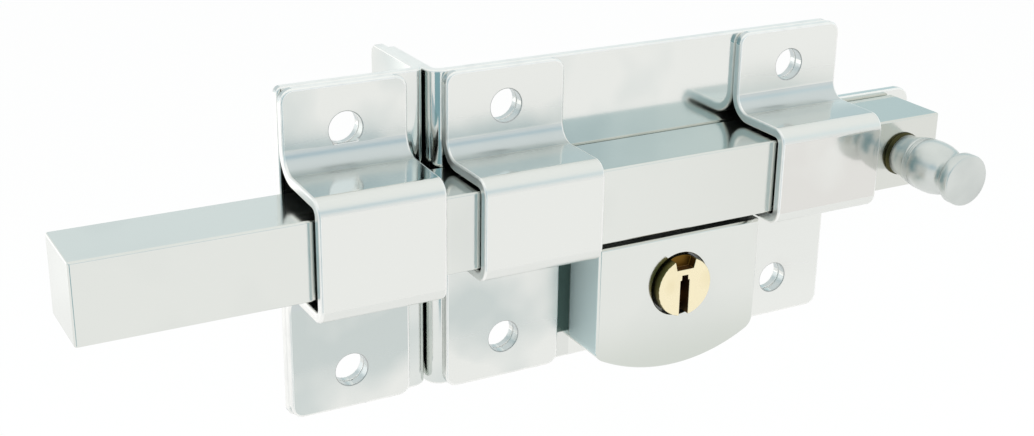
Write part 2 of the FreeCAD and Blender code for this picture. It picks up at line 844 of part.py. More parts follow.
def build_plug():
    """The plug: a proud head and a barrel with a keyway and the wafers' slots."""
    body = at_plug("plug")
    barrel = new_sketch(body, "XZ_Plane", "-plug_back")
    circle(barrel, "0", "0", "plug_barrel")
    pad(body, barrel, "plug_back - plug_shoulder")
    head = new_sketch(body, "XZ_Plane", "-plug_shoulder")
    circle(head, "0", "0", "plug_head")
    pad(body, head, "plug_shoulder - plug_front")
    keyway = new_sketch(body, "XZ_Plane", "-plug_front")
    polygon(keyway, [
        ("-key_neck / 2", "key_top"),
        ("-key_neck / 2", "key_step"),
        ("-key_slot / 2", "key_step"),
        ("-key_slot / 2", "-plug_head - overcut"),
        ("key_slot / 2", "-plug_head - overcut"),
        ("key_slot / 2", "key_step"),
        ("key_neck / 2", "key_step"),
        ("key_neck / 2", "key_top"),
    ])
    pocket(body, keyway, "key_depth")
    mark = new_sketch(body, "XZ_Plane", "-plug_front")
    polygon(mark, [
        ("-mark_top_width / 2", "plug_head + overcut"),
        ("-mark_top_width / 2", "plug_head"),
        ("-mark_low_width / 2", "plug_head - mark_drop"),
        ("mark_low_width / 2", "plug_head - mark_drop"),
        ("mark_top_width / 2", "plug_head"),
        ("mark_top_width / 2", "plug_head + overcut"),
    ])
    pocket(body, mark, "mark_depth")
    slots = new_sketch(body, "XY_Plane", "plug_barrel + overcut")
    half = "(wafer_thick / 2 + wafer_clear)"
    for middle in wafer_places():
        rectangle(
            slots,
            "-wafer_half - wafer_clear",
            "wafer_half + wafer_clear",
            f"{middle} - {half}",
            f"{middle} + {half}",
        )
    pocket(body, slots, "2 * (plug_barrel + overcut)")
    tail = new_sketch(body, "XZ_Plane", "-(plug_back + cam_thick)")
    square_tail(tail)
    pad(body, tail, "cam_thick")
    return body


def build_wafer(number, middle):
    """One wafer, held level with the plug as a key would hold it."""
    body = at_plug(f"wafer_{number}")
    back = f"-({middle} + wafer_thick / 2)"
    front = f"-({middle} - wafer_thick / 2)"
    disc = new_sketch(body, "XZ_Plane", back)
    circle(disc, "0", "0", "wafer_radius")
    pad(body, disc, "wafer_thick")
    cuts = new_sketch(body, "XZ_Plane", front)
    reach = "(wafer_radius + overcut)"
    rectangle(cuts, f"-{reach}", "-wafer_half", f"-{reach}", reach)
    rectangle(cuts, "wafer_half", reach, f"-{reach}", reach)
    rectangle(cuts, "-window_half", "window_half", "-window_bottom", "window_top")
    pocket(body, cuts, "wafer_thick")
    notch = new_sketch(body, "XZ_Plane", front)
    rectangle(
        notch,
        "spring_offset - spring_seat",
        "wafer_half + overcut",
        "-spring_length / 2",
        "spring_length / 2",
    )
    pocket(body, notch, "wafer_thick")
    return body


def build_wafer_spring(number, middle):
    """The spring at a wafer's side, as the plain pin of its outer size."""
    body = at_plug(f"wafer_spring_{number}")
    drawing = new_sketch(body, "XY_Plane", "-spring_length / 2")
    circle(drawing, "spring_offset", middle, "spring_radius")
    pad(body, drawing, "spring_length")
    return body


def build_cam_plate():
    """The plate on the plug's square tail that carries the cam pin."""
    body = at_plug("cam_plate")
    blank = new_sketch(body, "XZ_Plane", "-(cam_front + cam_thick)")
    rectangle(blank, "-cam_half_length", "cam_half_length", "-cam_half_width", "cam_half_width")
    pad(body, blank, "cam_thick")
    holes = new_sketch(body, "XZ_Plane", "-cam_front")
    circle(holes, "pin_side", "pin_drop", "cam_pin")
    square_tail(holes)
    pocket(body, holes, "cam_thick")
    return body


def build_cam_pin():
    """The pin that lifts and lowers the dog."""
    body = at_plug("cam_pin")
    drawing = new_sketch(body, "XZ_Plane", "-(cam_front + cam_thick + cam_pin_reach)")
    circle(drawing, "pin_side", "pin_drop", "cam_pin")
    pad(body, drawing, "cam_thick + cam_pin_reach")
    return body


def build_dog():
    """The dog: a tooth that rises into the bar's notch, on a plate with the yoke slot."""
    body = at_plug("locking_dog")
    drawing = new_sketch(body, "XZ_Plane", "-dog_back")
    polygon(drawing, [
        ("-dog_half", "-dog_below"),
        ("dog_half", "-dog_below"),
        ("dog_half", "dog_above"),
        ("tooth_half", "dog_above"),
        ("tooth_half", "tooth_top"),
        ("-tooth_half", "tooth_top"),
        ("-tooth_half", "dog_above"),
        ("-dog_half", "dog_above"),
    ])
    pad(body, drawing, "dog_thick")
    yoke = new_sketch(body, "XZ_Plane", "-dog_front")
    slot(yoke, "yoke_outer", "yoke_inner", "pin_drop", "yoke_half")
    pocket(body, yoke, "dog_thick")
    return body


def build_all():
    """Every piece of the lock."""
    pieces = [
        build_base_plate(),
        build_left_guide(),
        build_right_guide(),
        build_strike_plate(),
        build_strike_loop(),
        build_bar(),
        build_stop_pin(),
        build_knob_ring(),
        build_knob(),
        build_knob_screw(),
        build_lock_case(),
        build_housing(),
        build_plug(),
        build_cam_plate(),
        build_cam_pin(),
        build_dog(),
    ]
    for number, (across, up) in enumerate(CASE_RIVETS, start=1):
        pieces.append(build_plate_rivet(f"case_rivet_{number}", across, up))
    for number, (across, up) in enumerate(HOUSING_RIVETS, start=1):
        pieces.append(build_plate_rivet(f"housing_rivet_{number}", across, up))
    for number, middle in enumerate(wafer_places(), start=1):
        pieces.append(build_wafer(number, middle))
        pieces.append(build_wafer_spring(number, middle))
    return pieces


def check(pieces):
    """Stop if an object failed, or a piece isn't one valid closed solid."""
    for item in doc.Objects:
        if "Invalid" in item.State or "Error" in item.State:
            raise RuntimeError(f"{item.Name} failed: {item.State}")
    for piece in pieces:
        shape = piece.Shape
        if shape.isNull() or not shape.isValid() or len(shape.Solids) != 1:
            raise RuntimeError(f"{piece.Label} isn't one valid solid")


def write(pieces):
    """Write each piece to its own file."""
    os.makedirs(PARTS_FOLDER, exist_ok=True)
    for piece in pieces:
        piece.Shape.exportStep(os.path.join(PARTS_FOLDER, piece.Label + ".step"))


pieces = build_all()
doc.recompute()
check(pieces)
write(pieces)
print(f"{len(pieces)} pieces written")
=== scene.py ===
import math

import bmesh
import bpy
from mathutils import Matrix, Vector


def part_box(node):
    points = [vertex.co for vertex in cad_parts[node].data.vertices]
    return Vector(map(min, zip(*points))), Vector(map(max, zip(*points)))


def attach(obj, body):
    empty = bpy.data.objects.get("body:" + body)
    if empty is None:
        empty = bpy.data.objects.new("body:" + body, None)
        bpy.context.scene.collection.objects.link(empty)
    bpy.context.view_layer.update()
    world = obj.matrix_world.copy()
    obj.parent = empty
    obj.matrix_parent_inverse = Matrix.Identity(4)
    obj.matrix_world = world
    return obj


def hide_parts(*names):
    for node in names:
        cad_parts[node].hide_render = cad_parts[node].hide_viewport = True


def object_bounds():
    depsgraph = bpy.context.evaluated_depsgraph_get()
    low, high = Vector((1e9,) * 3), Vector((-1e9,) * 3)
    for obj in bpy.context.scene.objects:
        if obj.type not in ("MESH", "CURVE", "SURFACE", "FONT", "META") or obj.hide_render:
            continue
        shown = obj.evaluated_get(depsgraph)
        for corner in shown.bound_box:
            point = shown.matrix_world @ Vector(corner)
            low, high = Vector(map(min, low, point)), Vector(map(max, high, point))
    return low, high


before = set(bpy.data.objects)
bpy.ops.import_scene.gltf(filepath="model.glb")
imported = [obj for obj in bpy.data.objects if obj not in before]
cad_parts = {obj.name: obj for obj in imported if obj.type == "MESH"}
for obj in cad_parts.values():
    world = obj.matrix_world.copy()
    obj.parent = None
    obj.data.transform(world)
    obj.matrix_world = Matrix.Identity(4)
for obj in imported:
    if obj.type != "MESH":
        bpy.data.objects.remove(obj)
cad_low, cad_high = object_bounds()
plug_low, plug_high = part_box("plug")

MM = 0.001

# Camera: its place in metres, its axes, and its lens in pixels of the 1034 x 436 image
CAMERA_PLACE = Vector((-208.7, -316.8, 139.0)) * MM
CAMERA_RIGHT = Vector((0.88074, -0.47342, 0.01273))
CAMERA_DOWN = Vector((-0.15852, -0.32002, -0.93405))
CAMERA_AHEAD = Vector((0.44627, 0.82064, -0.35691))
IMAGE_WIDTH = 1034
IMAGE_HEIGHT = 436
FOCAL_PIXELS = 1572.0
AXIS_ACROSS = 508.1
AXIS_DOWN = 210.5

# Camera: its sensor in millimetres, and its nearest and farthest view in metres
SENSOR = 36.0
CLIP_NEAR, CLIP_FAR = 0.01, 100.0

# Floor, in metres, and the share of plain white in it where it is seen or mirrored
FLOOR_DROP = 0.16
FLOOR_LEVEL = cad_low.z - FLOOR_DROP
FLOOR_HALF = 12.0
FLOOR_SHARE = 0.88
FLOOR_MATTE = (0.92, 0.92, 0.91)
WHITE = (1.0, 1.0, 1.0)

# Sky: its colours, and the parts of a direction between which each turns into the next
SKY_EDGE = (1.0, 1.0, 0.99)
SKY_FRONT_LEFT = (0.46, 0.63, 0.73)
SKY_FRONT_RIGHT = (0.90, 1.0, 1.02)
SKY_BACK_LEFT = (0.78, 0.86, 0.88)
SKY_BACK_RIGHT = (0.56, 0.72, 0.76)
SKY_TOP = (0.96, 0.98, 0.97)
LEFT_TO_RIGHT = (0.30, 0.70)
FRONT_TO_BACK = (-0.4, 0.4)
EDGE_TO_SKY = (0.14, 0.26)
SKY_TO_TOP = (0.42, 0.54)

# Card to the left of the camera, in metres
CARD_LEFT, CARD_RIGHT = -0.45, -0.12
CARD_DEPTH = -0.38
CARD_TOP = 0.35
CARD_GREY = (0.26, 0.44, 0.49)

# Lamps: name, place, target and size in metres, power in watts, and whether the metal mirrors it
LAMPS = [
    ("key_lamp", (-0.5, -0.7, 1.1), (0.0, 0.0, 0.0), 0.9, 5.0, False),
    ("side_lamp", (0.9, -0.5, 0.5), (0.0, 0.0, 0.0), 0.5, 1.2, False),
    ("low_lamp", (-0.40, 0.40, -0.06), (-0.15, 0.0, 0.0), 0.30, 0.12, True),
]

# Clouds of the polish: the metal is clouded up to the noise's first amount, and clear from the second
CLOUDED, CLEAR = 0.30, 0.52
CLOUD_DETAIL = 3.0

# Fine marks of the polish: how many in a metre, and their depth in millimetres
POLISH_MARKS = 900.0
POLISH_DETAIL = 2.0
POLISH_RELIEF = 0.02

# Rounded edges, in millimetres
PLATE_EDGE = 0.45
LOOP_EDGE = 0.6
CASE_EDGE = 0.25
BAR_EDGE = 0.15
PLUG_EDGE = 0.15
EDGE_STEPS = 3
EDGE_WEIGHT = "bevel_weight_edge"

# Rims of the loops' mounting holes, in millimetres: their width, the holes' height, and a rim's reach
RIM_EDGE = 0.22
HOLE_LEVEL = 30.0
HOLE_REACH = 4.3
RIM_STEPS = 2
RIM_WEIGHT = "rim_weight"

# Angles between faces: from the first one up an edge is sharp, and up to the second the faces are one
SHARP_ANGLE = math.radians(28)
FLAT_ANGLE = math.radians(0.5)

# Parts of a normal: the least for a face that looks along an axis, and, in metres too, what counts as none
STRAIGHT = 0.9
TINY = 1e-6

# Knob and ring: (distance out from the bar's front, radius), in millimetres
TURNED_STEPS = 96
SPIGOT = 3.0
RING_OUT = 1.2
FLARE_OUT, FLARE_RADIUS = 8.0, 6.5
KNOB_BORE = [(11.0, 0.0), (11.0, 2.0), (0.0, 2.0), (0.0, SPIGOT), (RING_OUT, SPIGOT)]
KNOB_BODY = [
    (RING_OUT, 5.2), (1.4, 5.4), (3.8, 5.5), (5.4, 5.98), (6.8, 6.3), (FLARE_OUT, FLARE_RADIUS),
    (9.4, 6.78), (12.0, 6.85), (14.0, 6.72), (15.8, 6.3), (17.0, 5.85),
]
KNOB_NECK = [
    (17.7, 5.2), (18.3, 5.1), (19.5, 5.1), (20.0, 5.3), (21.1, 6.5), (21.5, 6.65), (23.6, 6.65),
]
KNOB_FACE = [(23.85, 6.55), (24.0, 6.3), (24.0, 0.0)]
RING_PROFILE = [
    (0.0, SPIGOT), (0.0, 5.3), (0.10, 5.6), (0.25, 5.7), (0.42, 5.7), (0.52, 5.45), (0.60, 5.25),
    (0.72, 5.25), (0.80, 5.45), (0.95, 5.5), (1.12, 5.45), (RING_OUT, 5.3), (RING_OUT, SPIGOT),
    (0.0, SPIGOT),
]

# Turning marks on the knob's flare, in millimetres, and how steeply its radius grows there
TURNING_MARKS = [7.6, 8.4, 9.2]
TURNING_DEPTH = 0.09
TURNING_HALF = 0.14
FLARE_SLOPE = 0.2

# Bends of the sheet: the least slant of a normal, and the depth in millimetres of the hollow ones
BEND_SLANT = 0.12
HOLLOW_DEPTH = -12.0

# Sheared edges: how near to a piece's outer planes they lie, and how large they are, in millimetres
SHEAR_NEAR = 0.02
SHEAR_AREA = 500.0

# Where the loops' painted shade changes, by depth and by height in millimetres, and how much rougher the
# roots
RECESS_START, RECESS_END = -20.0, -7.0
FLANGE_END, FLANGE_ROOT = 38.0, 25.0
ROOF_LEVEL, ROOF_END = 20.0, 24.0
ROOT_DULL = 0.20

# Painted shade in the loops' clouds, on the front, at the flanges' ends and at their roots (below zero it
# paints them lighter), and the roof's share
STRIKE_SHADE = (-0.22, 0.02, 0.20, 1.0)
LEFT_SHADE = (-0.22, -0.10, 0.10, 0.0)
RIGHT_SHADE = (0.30, -0.20, -0.10, 1.0)

# The channel of painted shade on the base plate between the left guide and the case, in millimetres
CHANNEL_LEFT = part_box("left_guide")[1].x / MM
CHANNEL_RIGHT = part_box("lock_case")[0].x / MM
CHANNEL_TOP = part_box("bar")[0].z / MM
CHANNEL_BOTTOM = -33.6
CHANNEL_DEPTH = -1.5
CHANNEL_BLUR = 0.2

# The channel's painted shade colour, and how much of it is left below the channel
CHANNEL_SHADE_COLOUR = (0.10, 0.14, 0.125)
CHANNEL_FOOT = 0.1

# Where painted shade darkens the case towards its bottom and the bar towards its right end: middle and
# half width in millimetres, and the colour
CASE_FADE, CASE_FADE_HALF = -34.0, 11.0
CASE_SHADE_COLOUR = (0.64, 0.67, 0.62)
BAR_FADE, BAR_FADE_HALF = 20.0, 45.0
BAR_SHADE_COLOUR = (0.71, 0.72, 0.68)

# Plug: how deep its face reaches, and how far over its axis the keystone recess begins, in millimetres
FACE_BAND = 0.08
KEYSTONE_LOW = 4.7

# Plug's side: the least share of the radius, and the most part of a normal along the axis
SIDE_SHARE = 0.9
SIDE_SLANT = 0.5


# Camera
def make_camera():
    """The camera that took the photograph."""
    data = bpy.data.cameras.new("camera")
    data.sensor_fit = "HORIZONTAL"
    data.sensor_width = SENSOR
    data.lens = FOCAL_PIXELS / IMAGE_WIDTH * SENSOR
    data.shift_x = (IMAGE_WIDTH / 2 - AXIS_ACROSS) / IMAGE_WIDTH
    data.shift_y = -(IMAGE_HEIGHT / 2 - AXIS_DOWN) / IMAGE_WIDTH
    data.clip_start = CLIP_NEAR
    data.clip_end = CLIP_FAR
    camera = bpy.data.objects.new("camera", data)
    turn = Matrix((CAMERA_RIGHT, -CAMERA_DOWN, -CAMERA_AHEAD)).transposed()
    camera.matrix_world = Matrix.Translation(CAMERA_PLACE) @ turn.to_4x4()
    bpy.context.collection.objects.link(camera)
    bpy.context.scene.camera = camera


# Node helpers
def new_material(name):
    """A material with an empty node tree and its output."""
    material = bpy.data.materials.new(name)
    material.use_nodes = True
    tree = material.node_tree
    tree.nodes.clear()
    output = tree.nodes.new("ShaderNodeOutputMaterial")
    return material, tree, output


def rgba(colour):
    """A colour with full opacity."""
    return (*colour, 1.0)


def feed(tree, socket, value):
    """Link a socket to another node's output, or give it a plain value."""
    if isinstance(value, bpy.types.NodeSocket):
        tree.links.new(value, socket)
    else:
        socket.default_value = value


def source_of(socket):
    """The output that a socket is linked to."""
    return socket.links[0].from_socket


def parts_of(tree, vector):
    """The X, Y and Z of a linked vector."""
    split = tree.nodes.new("ShaderNodeSeparateXYZ")
    tree.links.new(vector, split.inputs[0])
    return split.outputs


def worked_out(tree, operation, *values):
    """A value worked out from one or two others, linked or plain."""
    step = tree.nodes.new("ShaderNodeMath")
    step.operation = operation
    for socket, value in zip(step.inputs, values):
        feed(tree, socket, value)
    return step.outputs[0]


def spread(tree, value, low, high, first=0.0, last=1.0, shape="SMOOTHSTEP"):
    """A change from one amount to another between two places."""
    reach = tree.nodes.new("ShaderNodeMapRange")
    reach.interpolation_type = shape
    reach.inputs["From Min"].default_value = low
    reach.inputs["From Max"].default_value = high
    reach.inputs["To Min"].default_value = first
    reach.inputs["To Max"].default_value = last
    tree.links.new(value, reach.inputs["Value"])
    return reach.outputs["Result"]


def between(tree, amount, low_colour, high_colour):
    """A mixture of two colours, linked or plain."""
    mix = tree.nodes.new("ShaderNodeMix")
    mix.data_type = "RGBA"
    tree.links.new(amount, mix.inputs["Factor"])
    feed(tree, mix.inputs["A"], low_colour)
    feed(tree, mix.inputs["B"], high_colour)
    return mix.outputs["Result"]


def fill_ramp(ramp, stops):
    """Give a colour ramp its two (place, colour) stops."""
    for element, (place, colour) in zip(ramp.color_ramp.elements, stops):
        element.position = place
        element.color = rgba(colour)


def noise(tree, place, scale, detail):
    """A noise over the linked place, as an amount from 0 to 1."""
    pattern = tree.nodes.new("ShaderNodeTexNoise")
    pattern.inputs["Scale"].default_value = scale
    pattern.inputs["Detail"].default_value = detail
    tree.links.new(place, pattern.inputs["Vector"])
    return pattern.outputs["Fac"]


def plain_shader(tree, kind, colour):
    """A shader that has only a colour, linked or plain."""
    shader = tree.nodes.new(kind)
    feed(tree, shader.inputs["Color"], colour)
    return shader.outputs[0]


def mixed_shaders(tree, amount, first, second):
    """A mixture of two shaders."""
    mix = tree.nodes.new("ShaderNodeMixShader")
    tree.links.new(amount, mix.inputs["Fac"])
    tree.links.new(first, mix.inputs[1])
    tree.links.new(second, mix.inputs[2])
    return mix.outputs[0]


def seen_directly(tree):
    """A value of 1 for camera, glossy and transmission rays, and 0 for the others."""
    path = tree.nodes.new("ShaderNodeLightPath")
    near = worked_out(tree, "MAXIMUM", path.outputs["Is Camera Ray"], path.outputs["Is Glossy Ray"])
    return worked_out(tree, "MAXIMUM", near, path.outputs["Is Transmission Ray"])


# Studio
def make_world():
    """A cool studio, paler behind on the left and in front on the right, and a plain white backdrop."""
    world = bpy.data.worlds.new("studio")
    bpy.context.scene.world = world
    world.use_nodes = True
    tree = world.node_tree
    tree.nodes.clear()
    output = tree.nodes.new("ShaderNodeOutputWorld")
    place = tree.nodes.new("ShaderNodeTexCoord")
    direction = parts_of(tree, place.outputs["Generated"])
    across = spread(tree, direction["X"], *LEFT_TO_RIGHT)
    front = between(tree, across, rgba(SKY_FRONT_LEFT), rgba(SKY_FRONT_RIGHT))
    back = between(tree, across, rgba(SKY_BACK_LEFT), rgba(SKY_BACK_RIGHT))
    sky = between(tree, spread(tree, direction["Y"], *FRONT_TO_BACK), front, back)
    band = between(tree, spread(tree, direction["Z"], *EDGE_TO_SKY), rgba(SKY_EDGE), sky)
    studio = between(tree, spread(tree, direction["Z"], *SKY_TO_TOP), band, rgba(SKY_TOP))
    studio_light = plain_shader(tree, "ShaderNodeBackground", studio)
    backdrop = plain_shader(tree, "ShaderNodeBackground", rgba(WHITE))
    path = tree.nodes.new("ShaderNodeLightPath")
    shown = mixed_shaders(tree, path.outputs["Is Camera Ray"], studio_light, backdrop)
    tree.links.new(shown, output.inputs["Surface"])


def flat_piece(name, corners, material):
    """A plain four-cornered piece of the studio."""
    mesh = bpy.data.meshes.new(name)
    mesh.from_pydata(corners, [], [(0, 1, 2, 3)])
    mesh.materials.append(material)
    piece = bpy.data.objects.new(name, mesh)
    bpy.context.collection.objects.link(piece)
    return piece


def make_floor():
    """A white floor below the lock that keeps a light shadow."""
    material, tree, output = new_material("floor_white")
    matte = plain_shader(tree, "ShaderNodeBsdfDiffuse", rgba(FLOOR_MATTE))
    white = plain_shader(tree, "ShaderNodeEmission", rgba(WHITE))
    share = worked_out(tree, "MULTIPLY", seen_directly(tree), FLOOR_SHARE)
    tree.links.new(mixed_shaders(tree, share, matte, white), output.inputs["Surface"])
    flat_piece("floor", [
        (-FLOOR_HALF, -FLOOR_HALF, FLOOR_LEVEL),
        (FLOOR_HALF, -FLOOR_HALF, FLOOR_LEVEL),
        (FLOOR_HALF, FLOOR_HALF, FLOOR_LEVEL),
        (-FLOOR_HALF, FLOOR_HALF, FLOOR_LEVEL),
    ], material)


def make_card():
    """A grey-blue card to the left of the camera, seen only in the polished metal."""
    material, tree, output = new_material("card_grey")
    glow = plain_shader(tree, "ShaderNodeEmission", rgba(CARD_GREY))
    tree.links.new(glow, output.inputs["Surface"])
    card = flat_piece("card", [
        (CARD_LEFT, CARD_DEPTH, FLOOR_LEVEL),
        (CARD_RIGHT, CARD_DEPTH, FLOOR_LEVEL),
        (CARD_RIGHT, CARD_DEPTH, CARD_TOP),
        (CARD_LEFT, CARD_DEPTH, CARD_TOP),
    ], material)
    card.visible_camera = False
    card.visible_diffuse = False
    card.visible_shadow = False
    card.visible_transmission = False


def add_lamp(name, place, target, size, power, mirrored):
    """A soft square lamp that faces a target."""
    data = bpy.data.lights.new(name, "AREA")
    data.shape = "SQUARE"
    data.size = size
    data.energy = power
    lamp = bpy.data.objects.new(name, data)
    aim = Vector(target) - Vector(place)
    lamp.matrix_world = Matrix.Translation(place) @ aim.to_track_quat("-Z", "Y").to_matrix().to_4x4()
    lamp.visible_camera = False
    lamp.visible_glossy = mirrored
    bpy.context.collection.objects.link(lamp)


# Materials
def polished(name, colour, cloud, roughness, grain, bump, metal=1.0):
    """Polished metal with faint clouding and very fine polishing marks."""
    material, tree, output = new_material(name)
    shader = tree.nodes.new("ShaderNodeBsdfPrincipled")
    shader.name = "shader"
    shader.inputs["Metallic"].default_value = metal
    place = tree.nodes.new("ShaderNodeTexCoord")
    place.name = "place"
    clouds = noise(tree, place.outputs["Object"], grain, CLOUD_DETAIL)
    tint = tree.nodes.new("ShaderNodeValToRGB")
    tint.name = "tint"
    fill_ramp(tint, [(CLOUDED, cloud), (CLEAR, colour)])
    tree.links.new(clouds, tint.inputs["Fac"])
    tree.links.new(tint.outputs["Color"], shader.inputs["Base Color"])
    dull = spread(tree, clouds, 0.0, 1.0, *roughness, shape="LINEAR")
    tree.links.new(dull, shader.inputs["Roughness"])
    relief = tree.nodes.new("ShaderNodeBump")
    relief.inputs["Strength"].default_value = bump
    relief.inputs["Distance"].default_value = POLISH_RELIEF * MM
    marks = noise(tree, place.outputs["Object"], POLISH_MARKS, POLISH_DETAIL)
    tree.links.new(marks, relief.inputs["Height"])
    tree.links.new(relief.outputs["Normal"], shader.inputs["Normal"])
    tree.links.new(shader.outputs[0], output.inputs["Surface"])
    return material


def shaded_brass(name, deep, shallow):
    """Brass with painted shade, darker from the plug's face down to the case's front."""
    material = polished(name, shallow, deep, roughness=(0.35, 0.50), grain=300.0, bump=0.10)
    tree = material.node_tree
    tint = tree.nodes["tint"]
    place = parts_of(tree, tree.nodes["place"].outputs["Object"])
    depth = spread(tree, place["Y"], plug_low.y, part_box("lock_case")[0].y, shape="LINEAR")
    fill_ramp(tint, [(0.0, shallow), (1.0, deep)])
    tree.links.new(depth, tint.inputs["Fac"])
    return material


def shade_loop_recesses(material, front_shade, end_shade, root_shade, roof_share):
    """Paint shade into the clouds, thicker towards the roots of the flanges in the loops' recesses, and
    make those roots rougher.
    """
    tree = material.node_tree
    place = parts_of(tree, tree.nodes["place"].outputs["Object"])
    height = worked_out(tree, "ABSOLUTE", place["Z"])
    recess = spread(tree, place["Y"], RECESS_START * MM, RECESS_END * MM)
    at_root, at_end = root_shade - front_shade, end_shade - front_shade
    flange = spread(tree, height, FLANGE_ROOT * MM, FLANGE_END * MM, at_root, at_end)
    above = spread(tree, height, ROOF_LEVEL * MM, ROOF_END * MM, roof_share, 1.0)
    below = spread(tree, place["Z"], -ROOF_LEVEL * MM, 0.0, 1.0, 0.0)
    flange = worked_out(tree, "MULTIPLY", flange, worked_out(tree, "MAXIMUM", above, below))
    more = worked_out(tree, "MULTIPLY", flange, recess)
    painted_shade = worked_out(tree, "ADD", more, front_shade)
    tint = tree.nodes["tint"].inputs["Fac"]
    tree.links.new(worked_out(tree, "SUBTRACT", source_of(tint), painted_shade), tint)
    near_root = spread(tree, height, FLANGE_ROOT * MM, FLANGE_END * MM, ROOT_DULL, 0.0)
    duller = worked_out(tree, "MULTIPLY", near_root, recess)
    roughness = tree.nodes["shader"].inputs["Roughness"]
    tree.links.new(worked_out(tree, "ADD", source_of(roughness), duller), roughness)


def tint_region(material, colour, limits):
    """Turn a material to another colour within limits, as (axis, middle, half width, first, last)."""
    tree = material.node_tree
    place = parts_of(tree, tree.nodes["place"].outputs["Object"])
    amount = 1.0
    for axis, middle, half, first, last in limits:
        low, high = (middle - half) * MM, (middle + half) * MM
        side = spread(tree, place[axis], low, high, first, last)
        amount = worked_out(tree, "MULTIPLY", amount, side)
    base = tree.nodes["shader"].inputs["Base Color"]
    tree.links.new(between(tree, amount, source_of(base), rgba(colour)), base)


# Plated sheet, polished to a mirror
PLATED = (0.81, 0.82, 0.79)
PLATED_CLOUD = (0.61, 0.66, 0.645)
PLATE_POLISH = {"roughness": (0.06, 0.14), "grain": 24.0, "bump": 0.05}
LOOP_POLISH = {**PLATE_POLISH, "grain": 32.0}
CHROME = polished("bright_plate", PLATED, PLATED_CLOUD, **PLATE_POLISH)
BASE_CHROME = polished("base_chrome", PLATED, PLATED_CLOUD, **PLATE_POLISH)
STRIKE_CHROME = polished("strike_chrome", PLATED, PLATED_CLOUD, **LOOP_POLISH)
LEFT_CHROME = polished("left_chrome", PLATED, PLATED_CLOUD, **LOOP_POLISH)
RIGHT_CHROME = polished("right_chrome", (0.82, 0.83, 0.80), (0.745, 0.735, 0.705), **LOOP_POLISH)

# Bends, edges and rims of the sheet
BENT = polished("bent_plate", PLATED, PLATED, roughness=(0.30, 0.38), grain=32.0, bump=0.05)
# Painted shade: the hollow bends near the plates, darker and bluer grey
HOLLOW_SHADE = polished(
    "hollow_shade_plate", (0.62, 0.665, 0.665), (0.58, 0.63, 0.63),
    roughness=(0.26, 0.34), grain=32.0, bump=0.05,
)
# Sheared edges: rougher, as cut edges are, and painted brighter as a highlight line along the edges
SHEARED_AND_HIGHLIT = polished(
    "sheared_edge_and_highlight", (0.93, 0.925, 0.90), (0.86, 0.86, 0.84),
    roughness=(0.30, 0.40), grain=200.0, bump=0.15, metal=0.9,
)
# Painted shade: the rims of the mounting holes are darker, to draw the holes' dark outline
RIM_SHADE = polished(
    "hole_rim_shade", (0.56, 0.57, 0.56), (0.50, 0.51, 0.50),
    roughness=(0.30, 0.40), grain=200.0, bump=0.10,
)

# Case, bar and knob
BAR_PLATED = (0.77, 0.785, 0.75)
BAR_CLOUD = (0.71, 0.73, 0.70)
BAR_POLISH = {**PLATE_POLISH, "roughness": (0.08, 0.18)}
CASE_CHROME = polished("case_plate", BAR_PLATED, BAR_CLOUD, **BAR_POLISH)
BAR_CHROME = polished("bar_plate", BAR_PLATED, BAR_CLOUD, **BAR_POLISH)
# Painted shade: the case's upper face, dark and rough, stands in for the shade in the slot under the bar
TOP_SHADE = polished(
    "shaded_top_plate", (0.10, 0.105, 0.10), (0.08, 0.085, 0.08),
    roughness=(0.50, 0.60), grain=200.0, bump=0.15,
)
# Painted shade: the case's upright sides, bluish grey and half matte
SIDE_SHADE = polished(
    "shaded_side_plate", (0.62, 0.73, 0.73), (0.57, 0.68, 0.68),
    roughness=(0.45, 0.55), grain=24.0, bump=0.05, metal=0.3,
)
SATIN = polished(
    "satin_plate", (0.69, 0.715, 0.69), (0.60, 0.63, 0.61),
    roughness=(0.26, 0.36), grain=60.0, bump=0.08,
)
RING_DARK = polished(
    "ring_dark", (0.07, 0.065, 0.025), (0.05, 0.045, 0.02),
    roughness=(0.25, 0.40), grain=300.0, bump=0.10,
)

# Plug
BRASS = polished(
    "brass", (0.95, 0.855, 0.60), (0.90, 0.80, 0.54),
    roughness=(0.22, 0.32), grain=200.0, bump=0.10,
)
# Painted shade: the plug's side and keystone recess, darker towards the case's front
BRASS_SIDE = shaded_brass("brass_side", (0.06, 0.052, 0.015), (0.20, 0.165, 0.05))
BRASS_MARK = shaded_brass("brass_mark", (0.18, 0.095, 0.016), (0.24, 0.14, 0.03))
# Painted shade: dark brass for the plug's deepest faces and the wafers inside it
BRASS_SHADE = polished(
    "brass_shade", (0.24, 0.14, 0.055), (0.20, 0.12, 0.045),
    roughness=(0.40, 0.55), grain=300.0, bump=0.10,
)

# Inner pieces
STEEL = polished(
    "zinc_steel", (0.62, 0.62, 0.60), (0.56, 0.56, 0.54),
    roughness=(0.25, 0.35), grain=200.0, bump=0.10,
)
CAST = polished(
    "cast_zinc", (0.50, 0.51, 0.51), (0.44, 0.45, 0.45),
    roughness=(0.45, 0.60), grain=300.0, bump=0.30,
)


